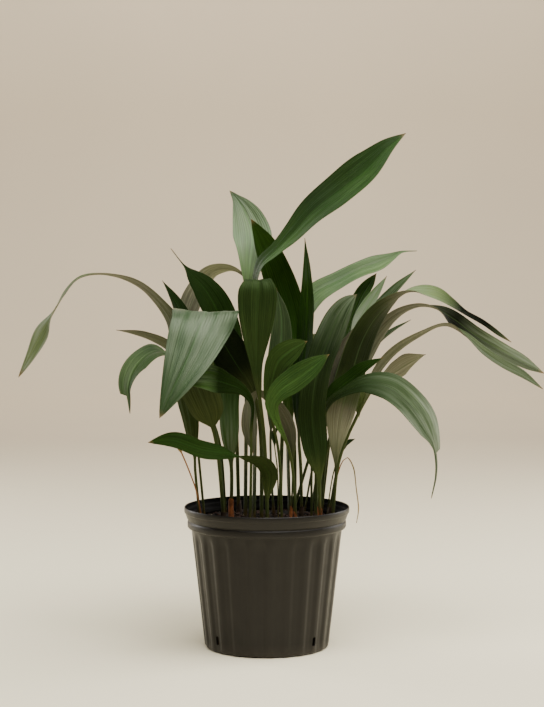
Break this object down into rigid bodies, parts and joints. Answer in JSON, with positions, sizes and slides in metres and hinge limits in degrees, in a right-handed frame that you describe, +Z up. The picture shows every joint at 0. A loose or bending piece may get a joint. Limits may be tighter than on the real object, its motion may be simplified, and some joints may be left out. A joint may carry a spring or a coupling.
{
  "type": "potted cast iron plant",
  "caption": "Tuft of long strap-like arching leaves on thin upright stalks, growing from bark soil in a round fluted nursery pot with a rolled lip and drain slots.",
  "frame": {"origin": "middle of the pot's flat underside, on the surface that it stands on", "axes": "+Z up along the pot's axis, -Y towards the viewer of the picture, +X to the viewer's right"},
  "size_m": [0.8404, 0.4852, 0.784],
  "materials": {
    "pot": "satin black-brown moulded plastic",
    "soil": "damp bark potting mix",
    "leaf_sheen": "satin with a pale bluish sheen",
    "leaf_pale": "satin, pale grey-green",
    "leaf_dark": "satin, fine ribs along the blade",
    "leaf_mid": "satin, fine ribs along the blade",
    "leaf_olive": "matt underside, olive grey",
    "leaf_bright": "satin, young and yellow-green",
    "leaf_dry": "dry, brown to straw"
  },
  "bodies": {
    "root": {"pot": "pot", "soil": "soil", "leaf_crown": "leaf_sheen", "leaf_pale_upright": "leaf_pale", "leaf_dark_back": "leaf_dark", "leaf_narrow_upright": "leaf_dark", "leaf_folded_crest": "leaf_mid", "leaf_front_left": "leaf_sheen", "leaf_olive_arch": "leaf_olive", "leaf_right_pale": "leaf_pale", "leaf_upper_left": "leaf_dark", "leaf_small_left": "leaf_dark", "leaf_long_left": "leaf_olive", "leaf_left_olive": "leaf_olive", "leaf_left_drooping": "leaf_mid", "leaf_right_drooping": "leaf_sheen", "leaf_right_shade": "leaf_dark", "leaf_right_low": "leaf_olive", "leaf_right_arch": "leaf_olive", "leaf_right_twisted": "leaf_olive", "leaf_far_right": "leaf_olive", "leaf_right_spear_dark": "leaf_dark", "leaf_right_spear_pale": "leaf_pale", "leaf_right_spear_slim": "leaf_mid", "leaf_front_upright": "leaf_sheen", "leaf_bright_upper": "leaf_bright", "leaf_bright_lower": "leaf_bright", "leaf_low_arch": "leaf_olive", "leaf_crescent": "leaf_bright", "leaf_low_front": "leaf_dark", "leaf_grey_middle": "leaf_pale", "leaf_small_folded": "leaf_dark", "leaf_dry_strip": "leaf_dry", "leaf_dry_shoot": "leaf_dry", "leaf_back_tip_right": "leaf_mid", "leaf_short_right": "leaf_mid", "leaf_back_left": "leaf_mid", "leaf_back_middle": "leaf_mid", "leaf_back_low_left": "leaf_mid", "leaf_back_low_right": "leaf_mid"}
  },
  "joints": []
}
